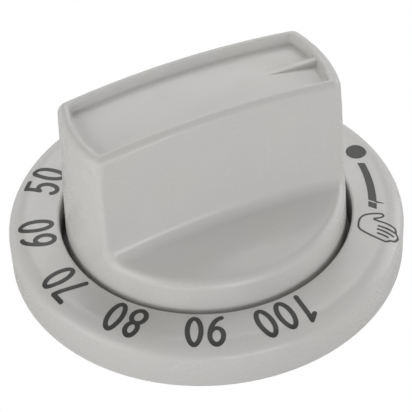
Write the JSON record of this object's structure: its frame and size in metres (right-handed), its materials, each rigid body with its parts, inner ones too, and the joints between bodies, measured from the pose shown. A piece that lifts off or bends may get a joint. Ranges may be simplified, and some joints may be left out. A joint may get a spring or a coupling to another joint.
{
  "type": "timer knob",
  "caption": "Cooker timer knob: a bar grip with a sunk top panel on a low domed base, sprung in a scale ring, with a clipped and keyed spindle socket.",
  "frame": {"origin": "centre of the dial ring's underside, on the axis of the spindle", "axes": "+Z along the spindle away from the appliance's panel, +X the way the pointer and the printed dot show, +Y across the grip"},
  "size_m": [0.06, 0.06, 0.0309],
  "materials": {
    "dial_plastic": "glossy white moulding, lightly scuffed",
    "knob_plastic": "glossy white moulding, lightly scuffed",
    "spring_wire": "drawn wire",
    "clip_band": "spring steel strip",
    "dial_print": "dark grey pad printing"
  },
  "bodies": {
    "dial": {"dial_ring": "dial_plastic", "return_spring": "spring_wire"},
    "knob": {"knob_body": "knob_plastic", "shaft_clip": "clip_band"}
  },
  "joints": [
    {"name": "press_in", "type": "slide", "parent": "dial", "child": "knob", "axis": [0, 0, -1], "range_m": [0, 0.002], "stiffness_N_per_m": 480, "springref_m": -0.002, "deforming": ["return_spring"]}
  ]
}
